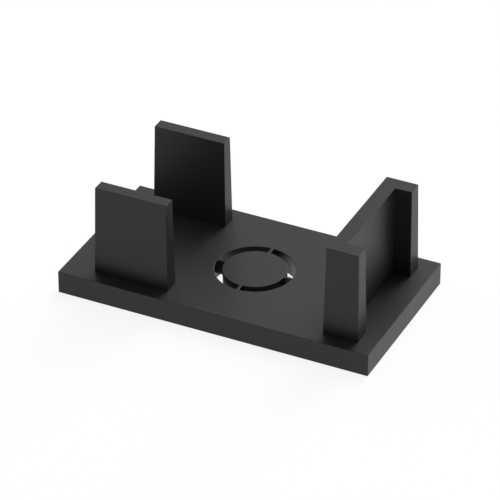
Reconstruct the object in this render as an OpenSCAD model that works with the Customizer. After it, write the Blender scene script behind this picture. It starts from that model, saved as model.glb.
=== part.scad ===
// End cap for an extruded profile, moulded in one piece.
// The cover plate lies on z = 0 and closes the end of the profile. Its tongues stand up and
// plug into the profile: a pair of guide plates at one end, and a channel, U-shaped in plan
// and open to the outside, at the other. Between them a round blank can be knocked out to
// let a cable through.
// X runs along the plate, with the channel at the +X end. All sizes are in millimetres.

/* [Cover plate] */
// Length of the plate along X
plate_l = 41.5; // [38:0.5:60]
// Width of the plate along Y
plate_w = 22; // [20:0.5:40]
// Thickness of the plate
plate_t = 3; // [2:0.1:6]

/* [Tongues] */
// Height of the tongues above the plate
tongue_h = 12; // [4:0.5:25]
// Draft on the side faces of the tongues, in degrees
tongue_draft = 1; // [0:0.25:2]
// Rim that the profile's wall seats on, from a long edge of the plate to the tongues
rim_w = 2; // [1:0.1:3]

/* [Guide plates] */
// From the -X edge of the plate to the guide plates
guide_inset = 4.05; // [1:0.05:8]
// Length of a guide plate at its foot
guide_l = 10; // [4:0.5:20]
// Thickness of a guide plate at its foot
guide_t = 2.1; // [1.5:0.1:3]

/* [Channel] */
// From the +X edge of the plate to the open ends of the channel
channel_inset = 2.2; // [1:0.1:6]
// Length of the channel along X at its foot, web included
channel_l = 4.6; // [3.6:0.1:8]
// Thickness of the channel's web and flanges at their foot
channel_t = 2.4; // [1.5:0.1:3]

/* [Knock-out] */
// Diameter of the blank
blank_d = 8; // [4:0.5:9]
// Width of the slot round the blank, at the inner face of the plate
slot_w = 1; // [0.6:0.1:1.5]
// Centre of the blank along X, from the middle of the plate
blank_x = 0.7; // [-4:0.1:4]
// Draft on the outer wall of the slot, which opens towards the underside, in degrees
hole_draft = 7; // [0:0.5:10]
// Draft on the edge of the blank, in degrees
blank_draft = 1; // [0:0.25:5]
// Number of bridges that hold the blank
bridge_count = 4; // [2:1:6]
// Width of a bridge
bridge_w = 0.4; // [0.3:0.1:1.5]
// From the underside of the plate up to a bridge
bridge_recess = 1; // [0.5:0.1:1.5]

/* [Hidden] */
$fn = 96;

// Cutting bodies run this far past the faces that they cut
over = 1;

// Outer faces of the tongues at their foot, on either side of the middle
tongue_y = plate_w / 2 - rim_w;
guide_x = -plate_l / 2 + guide_inset;
channel_end = plate_l / 2 - channel_inset;
channel_x = channel_end - channel_l;

// Radius of a cone with its draft, z above the underside, where it has the radius r at the
// inner face of the plate and grows downwards
function cone_r(r, draft, z) = r + (plate_t - z) * tan(draft);

// Outline of a drafted block from z = -below to z = h: from a to b at z = 0, with both
// sides leaning inwards on the way up, or outwards where the draft is negative
module drafted_outline(a, b, below, h, draft) {
    lean = tan(draft);
    polygon([
        [a - below * lean, -below],
        [b + below * lean, -below],
        [b - h * lean, h],
        [a + h * lean, h]
    ]);
}

// Block with the same draft on its four sides. x and y hold its two ends at z = 0. It is
// where its front outline, run along Y, meets its side outline, run along X.
module drafted_block(x, y, below, h, draft) {
    reach = (below + h) * abs(tan(draft)) + over;
    intersection() {
        translate([0, y[1] + reach, 0])
            rotate([90, 0, 0])
                linear_extrude(y[1] - y[0] + 2 * reach)
                    drafted_outline(x[0], x[1], below, h, draft);
        translate([x[0] - reach, 0, 0])
            rotate([90, 0, 90])
                linear_extrude(x[1] - x[0] + 2 * reach)
                    drafted_outline(y[0], y[1], below, h, draft);
    }
}

// Cone that cuts right through the plate, with the radius r at the plate's inner face
module through_cone(r, draft) {
    translate([0, 0, -over])
        cylinder(
            h = plate_t + 2 * over,
            r1 = cone_r(r, draft, -over),
            r2 = cone_r(r, draft, plate_t + over)
        );
}

// Bars across the slot. What they take from the cutter stays in the plate as the bridges,
// which are flush with its inner face and stop short of its underside.
module bridge_bars() {
    for (i = [0 : bridge_count - 1])
        rotate(i * 360 / bridge_count)
            translate([0, -bridge_w / 2, bridge_recess])
                cube([blank_d, bridge_w, plate_t - bridge_recess + 2 * over]);
}

// Cutter for the slot round the blank
module slot() {
    translate([blank_x, 0, 0])
        difference() {
            through_cone(blank_d / 2 + slot_w, hole_draft);
            through_cone(blank_d / 2, -blank_draft);
            bridge_bars();
        }
}

module cover_plate() {
    difference() {
        translate([-plate_l / 2, -plate_w / 2, 0])
            cube([plate_l, plate_w, plate_t]);
        slot();
    }
}

// Guide plate on the +Y side
module guide_plate() {
    drafted_block(
        [guide_x, guide_x + guide_l],
        [tongue_y - guide_t, tongue_y],
        0, tongue_h, tongue_draft
    );
}

// Channel that is open at the top and towards +X
module channel() {
    difference() {
        drafted_block(
            [channel_x, channel_end],
            [-tongue_y, tongue_y],
            0, tongue_h, tongue_draft
        );
        drafted_block(
            [channel_x + channel_t, channel_end + over],
            [-tongue_y + channel_t, tongue_y - channel_t],
            over, tongue_h + over, -tongue_draft
        );
    }
}

module end_cap() {
    color("#242426") {
        cover_plate();
        translate([0, 0, plate_t]) {
            guide_plate();
            mirror([0, 1, 0]) guide_plate();
            channel();
        }
    }
}

end_cap();
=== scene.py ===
# %% [markdown]
# This file dresses an end cap for an extruded profile, one piece moulded in black plastic.
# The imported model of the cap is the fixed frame: it gives the place and the size that
# everything here is held to. So it is loaded first, before anything is made.

# %% Load the frame
import math

import bmesh
import bpy
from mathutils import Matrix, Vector


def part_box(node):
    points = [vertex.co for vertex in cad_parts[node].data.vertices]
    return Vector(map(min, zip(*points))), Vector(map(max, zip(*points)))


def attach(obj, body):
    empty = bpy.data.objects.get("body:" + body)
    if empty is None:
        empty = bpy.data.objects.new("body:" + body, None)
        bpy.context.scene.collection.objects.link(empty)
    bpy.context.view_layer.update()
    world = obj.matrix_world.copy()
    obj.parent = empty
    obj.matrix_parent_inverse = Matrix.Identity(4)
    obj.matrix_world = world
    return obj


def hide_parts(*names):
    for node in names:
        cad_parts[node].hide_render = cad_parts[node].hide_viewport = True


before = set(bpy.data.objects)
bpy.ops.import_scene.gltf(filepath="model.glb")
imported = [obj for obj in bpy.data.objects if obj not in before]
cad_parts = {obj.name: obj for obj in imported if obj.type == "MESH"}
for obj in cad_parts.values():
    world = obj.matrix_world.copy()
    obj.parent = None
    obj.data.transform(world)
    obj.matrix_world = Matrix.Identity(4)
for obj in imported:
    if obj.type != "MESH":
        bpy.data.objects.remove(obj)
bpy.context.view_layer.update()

mm = 0.001
cad_low, cad_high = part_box("end_cap")
print("frame: the cap measures", [round(side / mm, 3) for side in cad_high - cad_low], "mm")

# %% [markdown]
# The photograph looks down on the cap from its front right, through a long lens, so its
# parallel edges stay nearly parallel. A camera could be placed by typing its coordinates.
# Here it stands on a sphere round a point on the cap, because two angles and a distance
# say more to a reader, and the lamps are then placed with the same small functions.

# %% Camera
def towards(azimuth, elevation):
    """Unit vector from the cap. Azimuth turns from +X towards +Y, both in degrees."""
    turn = math.radians(azimuth)
    rise = math.radians(elevation)
    return Vector((
        math.cos(rise) * math.cos(turn),
        math.cos(rise) * math.sin(turn),
        math.sin(rise),
    ))


def place_and_aim(obj, target, azimuth, elevation, distance):
    """Puts the object on a sphere round the target and turns its -Z axis to the centre."""
    obj.location = target + towards(azimuth, elevation) * distance
    obj.rotation_euler = (-towards(azimuth, elevation)).to_track_quat("-Z", "Y").to_euler()


camera_target = Vector((-1.33, 2.82, 3.51)) * mm
bpy.ops.object.camera_add()
camera = bpy.context.object
camera.name = "photo_camera"
place_and_aim(camera, camera_target, azimuth=-64.39, elevation=33.214, distance=435.9 * mm)
camera.data.sensor_width = 36
camera.data.lens = 254.96
camera.data.clip_start = 10 * mm
bpy.context.scene.camera = camera
print("camera stands at", [round(place / mm, 1) for place in camera.location], "mm")

# %% [markdown]
# Every material starts with three helpers. Colours are written as sRGB hex values, as any
# paint program shows them, while the shader counts in linear light, so the first function
# turns one into the other. Nodes could be added line by line, but each would take four or
# five lines that say little, so the second adds a node, sets it and links it in one call.
# The third starts a material with no nodes in it.

# %% Helpers for materials
def linear(code):
    """Linear RGBA from an sRGB hex colour such as #808080, by the standard sRGB curve."""
    levels = [int(code[at:at + 2], 16) / 255 for at in (1, 3, 5)]
    light = [
        level / 12.92 if level <= 0.04045 else ((level + 0.055) / 1.055) ** 2.4
        for level in levels
    ]
    return (*light, 1.0)


def add_node(tree, kind, settings=None, inputs=None):
    """Adds a node. Each input is set to a value, or linked if it is given an output."""
    node = tree.nodes.new(kind)
    for name, value in (settings or {}).items():
        setattr(node, name, value)
    for name, value in (inputs or {}).items():
        if isinstance(value, bpy.types.NodeSocket):
            tree.links.new(value, node.inputs[name])
        else:
            node.inputs[name].default_value = value
    return node


def empty_material(name):
    """New material with an empty node tree."""
    material = bpy.data.materials.new(name)
    material.use_nodes = True
    material.node_tree.nodes.clear()
    return material


print("hex #808080 is", round(linear("#808080")[0], 3), "in linear light")

# %% [markdown]
# The cap lies on a sheet of matt white board, which is pure white in the photograph. More
# light could make it so, but it would wash out the plastic. So the board itself glows, but
# only where it is seen. The plastic's reflections and the camera both see the glow. For
# the camera a small share stays real matt white, which keeps the cap's shadow, and the two
# add up to pure white where the board lies open to the lamps. For all other light it is
# plain matt board.

# %% Paint of the white board
shadow_share = 0.16
# Brightness of the open board as matt white alone, measured in a render
open_board = 0.8
glow_strength = (1 - shadow_share * open_board) / (1 - shadow_share)

board_paint = empty_material("matt_white_board")
tree = board_paint.node_tree
matt = add_node(tree, "ShaderNodeBsdfDiffuse", inputs={"Color": linear("#e7e7e7")})
glow = add_node(tree, "ShaderNodeEmission", inputs={
    "Color": linear("#ffffff"),
    "Strength": glow_strength,
})
rays = add_node(tree, "ShaderNodeLightPath")
mirrored = add_node(tree, "ShaderNodeMath", {"operation": "MAXIMUM"}, {
    0: rays.outputs["Is Glossy Ray"],
    1: rays.outputs["Is Transmission Ray"],
})
photographed = add_node(tree, "ShaderNodeMath", {"operation": "MULTIPLY"}, {
    0: rays.outputs["Is Camera Ray"],
    1: 1 - shadow_share,
})
glow_share = add_node(tree, "ShaderNodeMath", {"operation": "MAXIMUM"}, {
    0: photographed.outputs[0],
    1: mirrored.outputs[0],
})
surface = add_node(tree, "ShaderNodeMixShader", inputs={
    0: glow_share.outputs[0],
    1: matt.outputs[0],
    2: glow.outputs[0],
})
add_node(tree, "ShaderNodeOutputMaterial", inputs={"Surface": surface.outputs[0]})
print("the board glows with", round(glow_strength, 3))

# %% [markdown]
# A studio board usually curves up behind the object, which works from one side only. This
# one is a wide disc whose rim turns up all round, so no horizon shows from any side. It
# starts as a filled circle, and its edge is extruded upwards. It lies a hair below the cap,
# because two faces in one and the same place would show through each other.

# %% White board
board_radius = 3.0
board_sides = 96
rim_height = 0.3
gap_under_cap = 0.02 * mm

bpy.ops.object.select_all(action="DESELECT")
bpy.ops.mesh.primitive_circle_add(
    vertices=board_sides,
    radius=board_radius,
    fill_type="NGON",
    location=(0, 0, -gap_under_cap),
)
board = bpy.context.object
board.name = "white_board"
bpy.ops.object.transform_apply(location=True, rotation=True, scale=True)
bpy.ops.object.mode_set(mode="EDIT")
bpy.ops.mesh.select_all(action="SELECT")
bpy.ops.mesh.region_to_loop()
bpy.ops.mesh.extrude_edges_move(TRANSFORM_OT_translate={"value": (0, 0, rim_height)})
bpy.ops.object.mode_set(mode="OBJECT")
board.data.materials.append(board_paint)
print("board:", 2 * board_radius, "m across, with", len(board.data.polygons), "faces")

# %% [markdown]
# The light comes from high up behind the cap. It gives the upper faces their soft sheen and
# lets the faces towards the camera fall off to black. One softbox could do, but in the
# photograph the shadows are crisp at the foot of each tongue and fade out softly. So a
# bright strip stands in front of a wide, weaker softbox. A third lamp, low on the left,
# lights the long front, and the grey air of the room adds a trace. A lamp's power follows
# from how bright its face is, so each is given as that brightness.

# %% Softboxes and room
lamp_target = Vector((0, 0, 6 * mm))
lamp_distance = 1.0
room_brightness = 0.12


def softbox(name, azimuth, elevation, width, height, brightness):
    """Rectangular lamp, as bright as a lit white wall where its brightness is 1."""
    bpy.ops.object.light_add(type="AREA")
    lamp = bpy.context.object
    lamp.name = name
    place_and_aim(lamp, lamp_target, azimuth, elevation, lamp_distance)
    lamp.data.shape = "RECTANGLE"
    lamp.data.size = width
    lamp.data.size_y = height
    # A matt face with a brightness of 1 gives off pi watts per square metre
    lamp.data.energy = math.pi * width * height * brightness
    lamp.visible_camera = False
    print(name, "shines with", round(lamp.data.energy, 2), "W")


softbox("key_strip", azimuth=81.7, elevation=40.4, width=0.285, height=1.585, brightness=5.95)
softbox("back_softbox", azimuth=79, elevation=55.3, width=0.895, height=2.683, brightness=1.35)
softbox("side_softbox", azimuth=171.7, elevation=26.6, width=2.878, height=0.916, brightness=0.84)

room = bpy.data.worlds.new("grey_room")
room.use_nodes = True
room.node_tree.nodes["Background"].inputs["Color"].default_value = linear("#ffffff")
room.node_tree.nodes["Background"].inputs["Strength"].default_value = room_brightness
bpy.context.scene.world = room
bpy.context.scene.view_settings.view_transform = "Standard"

# %% [markdown]
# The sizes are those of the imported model. The overall ones are read from the frame, and the
# rest are repeated here in millimetres. The tongues and the hole have draft, the slight
# taper without which a moulding can't leave its steel mould.

# %% Sizes of the cap
plate_l = cad_high.x - cad_low.x
plate_w = cad_high.y - cad_low.y
plate_t = 3 * mm
tongue_h = cad_high.z - plate_t
tongue_draft = math.radians(1)
rim_w = 2 * mm
guide_inset = 4.05 * mm
guide_l = 10 * mm
guide_t = 2.1 * mm
channel_inset = 2.2 * mm
channel_l = 4.6 * mm
channel_t = 2.4 * mm

# Outer faces of the tongues, and where the guide plates and the channel start along X
tongue_y = plate_w / 2 - rim_w
guide_x = -plate_l / 2 + guide_inset
channel_end = plate_l / 2 - channel_inset
channel_x = channel_end - channel_l
print("tongues stand", round(tongue_h / mm, 2), "mm above the plate")

# %% [markdown]
# The cap is shaped in edit mode, as by hand. There one clicks on the faces to be worked on.
# A script could name them by their numbers, but these change with every cut. So it picks
# them by where their centres lie and which way they look. A line cut across some of them
# then marks out the next step, as a scriber does on a blank.

# %% Helpers for edit mode
# Corners nearer than this are one and the same
merge_gap = 0.0001 * mm


def edit(piece):
    """Opens one piece in edit mode, with nothing else selected."""
    bpy.ops.object.select_all(action="DESELECT")
    piece.select_set(True)
    bpy.context.view_layer.objects.active = piece
    bpy.ops.object.mode_set(mode="EDIT")
    bpy.ops.mesh.select_mode(type="FACE")


def select_faces(piece, wanted):
    """In edit mode, selects the faces whose centre and normal are wanted, and counts them."""
    bpy.ops.mesh.select_all(action="DESELECT")
    shape = bmesh.from_edit_mesh(piece.data)
    chosen = [face for face in shape.faces if wanted(face.calc_center_median(), face.normal)]
    for face in chosen:
        face.select_set(True)
    bmesh.update_edit_mesh(piece.data)
    return len(chosen)


def score(piece, wanted, point, normal):
    """Cuts the wanted faces along a plane."""
    select_faces(piece, wanted)
    bpy.ops.mesh.bisect(plane_co=point, plane_no=normal, threshold=merge_gap)
    bpy.ops.mesh.select_mode(type="FACE")


print("corners nearer than", merge_gap / mm, "mm count as one")

# %% [markdown]
# The cover plate closes the end of the profile, and its tongues plug into it. The tongues
# could be separate boxes, joined on by booleans. Raising them from the plate's own top is
# nearer to the moulding, which has no seams. So the plate starts as a cube, and lines are
# cut across its top where the tongues will stand.

# %% Cover plate, marked out
# Least Z in the normal of a face that counts as level
level_normal = 0.5


def is_top(centre, normal):
    return normal.z > level_normal


bpy.ops.object.select_all(action="DESELECT")
bpy.ops.mesh.primitive_cube_add(
    size=1, location=(0, 0, plate_t / 2), scale=(plate_l, plate_w, plate_t)
)
cap = bpy.context.object
cap.name = "moulded_cap"
bpy.ops.object.transform_apply(location=True, rotation=True, scale=True)

lines_x = [guide_x, guide_x + guide_l, channel_x, channel_x + channel_t, channel_end]
lines_y = [tongue_y, tongue_y - guide_t, tongue_y - channel_t]
edit(cap)
for x in lines_x:
    score(cap, is_top, (x, 0, 0), (1, 0, 0))
for y in lines_y:
    score(cap, is_top, (0, y, 0), (0, 1, 0))
    score(cap, is_top, (0, -y, 0), (0, 1, 0))
print("fields marked out on the plate:", select_faces(cap, is_top))

# %% [markdown]
# A tongue with draft is narrower at its top than at its foot by the same amount on every
# side. Extrude and scale would do for the straight guide plates, but on the channel, which
# is U-shaped in plan, scaling moves the inner walls the wrong way. Inset with a depth moves
# every wall inwards by the same amount and up in one step, so it makes both kinds.

# %% Tongues
def in_guides(centre, normal):
    along = guide_x < centre.x < guide_x + guide_l
    across = tongue_y - guide_t < abs(centre.y) < tongue_y
    return is_top(centre, normal) and along and across


def in_channel(centre, normal):
    web = channel_x < centre.x < channel_x + channel_t and abs(centre.y) < tongue_y
    beside = tongue_y - channel_t < abs(centre.y) < tongue_y
    flanges = channel_x < centre.x < channel_end and beside
    return is_top(centre, normal) and (web or flanges)


for footprint in (in_guides, in_channel):
    fields = select_faces(cap, footprint)
    bpy.ops.mesh.inset(
        thickness=tongue_h * math.tan(tongue_draft), depth=tongue_h, use_even_offset=True
    )
    print("tongues raised from", fields, "fields")

# The marking out has served, so lines within a flat face go
flat_angle = math.radians(0.1)
bpy.ops.mesh.select_all(action="SELECT")
bpy.ops.mesh.dissolve_limited(angle_limit=flat_angle)
bpy.ops.object.mode_set(mode="OBJECT")
print("cap:", len(cap.data.polygons), "faces")

# %% [markdown]
# A slot runs round a blank, which four thin bridges hold until it is knocked out to let a
# cable through. The slot widens towards the underside, and the bridges stop short of it.
# It could be raised or sunk from a ring of faces, but bridges of part of the height would
# break the ring up. So it gets a cutter, built like the steel in the mould: an outer cone,
# less the cone of the blank, less a cross of two bars for the bridges. The cones and bars
# come first, each a primitive at its own size.

# %% Cones and bars for the slot
blank_r = 4 * mm
blank_x = 0.7 * mm
slot_w = 1 * mm
hole_draft = math.radians(7)
blank_draft = math.radians(1)
bridge_w = 0.4 * mm
bridge_recess = 1 * mm

# A bar reaches well past the slot on both sides
bar_l = 4 * blank_r

# Cutting bodies run this far past the faces that they cut
over = 1 * mm

# With 84 sides each bridge has a corner of the cones on its middle line and none near its
# sides, and the diagonals cross the cones half-way between two corners, so no edge is too
# short for its radius later
slot_sides = 84


def cone(top_radius, draft):
    """Cone through the plate, with the given radius at the top face, wider below."""
    bpy.ops.object.select_all(action="DESELECT")
    bpy.ops.mesh.primitive_cone_add(
        vertices=slot_sides,
        radius1=top_radius + (plate_t + over) * math.tan(draft),
        radius2=top_radius - over * math.tan(draft),
        depth=plate_t + 2 * over,
        location=(blank_x, 0, plate_t / 2),
    )
    bpy.ops.object.transform_apply(location=True, rotation=True, scale=True)
    return bpy.context.object


def bar(turn):
    """Bar across the slot for two bridges that face each other, turned in degrees."""
    height = plate_t - bridge_recess + 2 * over
    bpy.ops.object.select_all(action="DESELECT")
    bpy.ops.mesh.primitive_cube_add(
        size=1,
        location=(blank_x, 0, bridge_recess + height / 2),
        rotation=(0, 0, math.radians(turn)),
        scale=(bar_l, bridge_w, height),
    )
    bpy.ops.object.transform_apply(location=True, rotation=True, scale=True)
    return bpy.context.object


slot = cone(blank_r + slot_w, hole_draft)
print("outer cone:", [round(side / mm, 2) for side in slot.dimensions], "mm")

# %% [markdown]
# Booleans now take the blank's cone and the bars out of the outer cone. The fast solver
# could do it, but it fails now and then where faces lie in one plane, as the undersides of
# the two bars do. The exact one copes with them, and on so small a shape the extra time is
# nothing.

# %% Cutter for the slot
def cut(piece, tool):
    """Takes the tool's shape out of the piece and throws the tool away."""
    change = piece.modifiers.new("cut", "BOOLEAN")
    change.operation = "DIFFERENCE"
    change.solver = "EXACT"
    change.object = tool
    bpy.context.view_layer.objects.active = piece
    bpy.ops.object.modifier_apply(modifier=change.name)
    bpy.data.objects.remove(tool)


cut(slot, cone(blank_r, -blank_draft))
for turn in (0, 90):
    cut(slot, bar(turn))
print("cutter:", len(slot.data.polygons), "faces")

# %% [markdown]
# A face with a hole in it has to be split somewhere, and a boolean left to itself draws
# long thin slivers. So both faces of the plate are first cut along the two diagonals
# through the blank's centre. Each part of the slot then lies across a line, and the cut
# stays clean.

# %% Slot
def is_plate_face(centre, normal):
    return abs(normal.z) > level_normal and centre.z < plate_t + merge_gap


edit(cap)
for diagonal in ((1, 1, 0), (1, -1, 0)):
    score(cap, is_plate_face, (blank_x, 0, 0), diagonal)
bpy.ops.object.mode_set(mode="OBJECT")
cut(cap, slot)
print("cap with its slot:", len(cap.data.polygons), "faces")

# %% [markdown]
# Steel can't be cut to an edge without any radius, so every outer edge of a moulding is
# slightly round. Here it is only a hair, as the photograph's crisp edges show, yet it keeps
# the outline from looking cut out of paper. A Bevel modifier would also round the inner
# corners, which then catch a thin line of light that the real ones, sharp and dark, don't
# have. So the outer edges are picked by the angle at which their faces meet, and only they
# are bevelled. Normals weighted by area then keep the big faces flat right up to the radius.

# %% Edge radius
edge_r = 0.06 * mm
radius_segments = 3
# Faces that turn by more than the first angle meet in an outer edge, and those that turn
# by less than the second are shaded as one
outer_edge_angle = math.radians(30)
smooth_angle = math.radians(40)


def select_outer_edges(piece):
    """In edit mode, selects the edges at which the faces turn away, and counts them."""
    bpy.ops.mesh.select_mode(type="EDGE")
    bpy.ops.mesh.select_all(action="DESELECT")
    shape = bmesh.from_edit_mesh(piece.data)
    chosen = [edge for edge in shape.edges if edge.calc_face_angle_signed() > outer_edge_angle]
    for edge in chosen:
        edge.select_set(True)
    bmesh.update_edit_mesh(piece.data)
    return len(chosen)


edit(cap)
print("outer edges:", select_outer_edges(cap))
bpy.ops.mesh.bevel(offset=edge_r, segments=radius_segments, clamp_overlap=True)
bpy.ops.object.mode_set(mode="OBJECT")
bpy.ops.object.shade_smooth_by_angle(angle=smooth_angle)
flats = cap.modifiers.new("flat_faces", "WEIGHTED_NORMAL")
flats.mode = "FACE_AREA"
flats.keep_sharp = True
bpy.ops.object.modifier_apply(modifier=flats.name)
print("finished cap:", len(cap.data.polygons), "faces")

# %% [markdown]
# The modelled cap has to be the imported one. It could be judged by eye, but a number says
# more, so the distance from each of its corners to the surface of the frame's cap is
# measured. The edge radius and the flat sides of the cones leave a few hundredths of a
# millimetre.

# %% Compare with the frame
cad_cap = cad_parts["end_cap"]
gaps = [
    (cad_cap.closest_point_on_mesh(corner.co)[1] - corner.co).length
    for corner in cap.data.vertices
]
print("largest distance from the frame's cap:", round(max(gaps) / mm, 3), "mm")

# %% [markdown]
# Such caps are moulded from polyamide, coloured right through with carbon black. The steel
# of the mould is spark eroded, and the plastic takes on its fine pits. A picture of such a
# surface could be wrapped round the cap, but noise that is worked out on the cap's own
# coordinates has no seams, and stays true to size. It is used twice: fine, for the pits,
# and coarse, for the faint clouds where the melt cooled unevenly.

# %% Pits and clouds
# Real pits are about 0.1 mm apart. They are drawn twice as coarse, to show at all.
grain_pitch = 0.2 * mm
grain_depth = 0.0015 * mm
cloud_size = 5 * mm

polyamide = empty_material("black_polyamide_spark_eroded")
tree = polyamide.node_tree
place = add_node(tree, "ShaderNodeTexCoord").outputs["Object"]
pits = add_node(tree, "ShaderNodeTexNoise", inputs={
    "Vector": place,
    "Scale": 1 / grain_pitch,
    "Detail": 2.0,
    "Roughness": 0.6,
})
grain = add_node(tree, "ShaderNodeBump", inputs={
    "Strength": 1.0,
    "Distance": grain_depth,
    "Height": pits.outputs["Fac"],
})
clouds = add_node(tree, "ShaderNodeTexNoise", inputs={
    "Vector": place,
    "Scale": 1 / cloud_size,
    "Detail": 3.0,
    "Roughness": 0.5,
})
print("grain repeats about every", round(grain_pitch / mm, 2), "mm")

# %% [markdown]
# The pits scatter the light, so the surface has a satin sheen and reflects less than a
# polished one. The shader starts from polyamide's refractive index of 1.53, and its
# roughness and specular level are matched to the cap. One value for each would do from
# afar, but a real moulding is never quite even, so the clouds vary the gloss a little and
# the black even less.

# %% Black polyamide, spark eroded
# The noise hardly leaves the range from 0.3 to 0.7, so that is spread over the gloss
gloss = add_node(tree, "ShaderNodeMapRange", inputs={
    "Value": clouds.outputs["Fac"],
    "From Min": 0.3,
    "From Max": 0.7,
    "To Min": 0.395,
    "To Max": 0.425,
})
# A Mix node set to colours takes them at its sockets 6 and 7, and gives one at 2
black = add_node(tree, "ShaderNodeMix", {"data_type": "RGBA"}, {
    "Factor": clouds.outputs["Fac"],
    6: linear("#232323"),
    7: linear("#252525"),
})
shader = add_node(tree, "ShaderNodeBsdfPrincipled", inputs={
    "Base Color": black.outputs[2],
    "Roughness": gloss.outputs["Result"],
    "IOR": 1.53,
    "Specular IOR Level": 0.27,
    "Normal": grain.outputs["Normal"],
})
add_node(tree, "ShaderNodeOutputMaterial", inputs={"Surface": shader.outputs[0]})
cap.data.materials.clear()
cap.data.materials.append(polyamide)
print("the cap's material:", cap.data.materials[0].name)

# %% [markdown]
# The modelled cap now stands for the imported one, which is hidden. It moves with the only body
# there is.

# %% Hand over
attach(cap, "root")
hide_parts("end_cap")
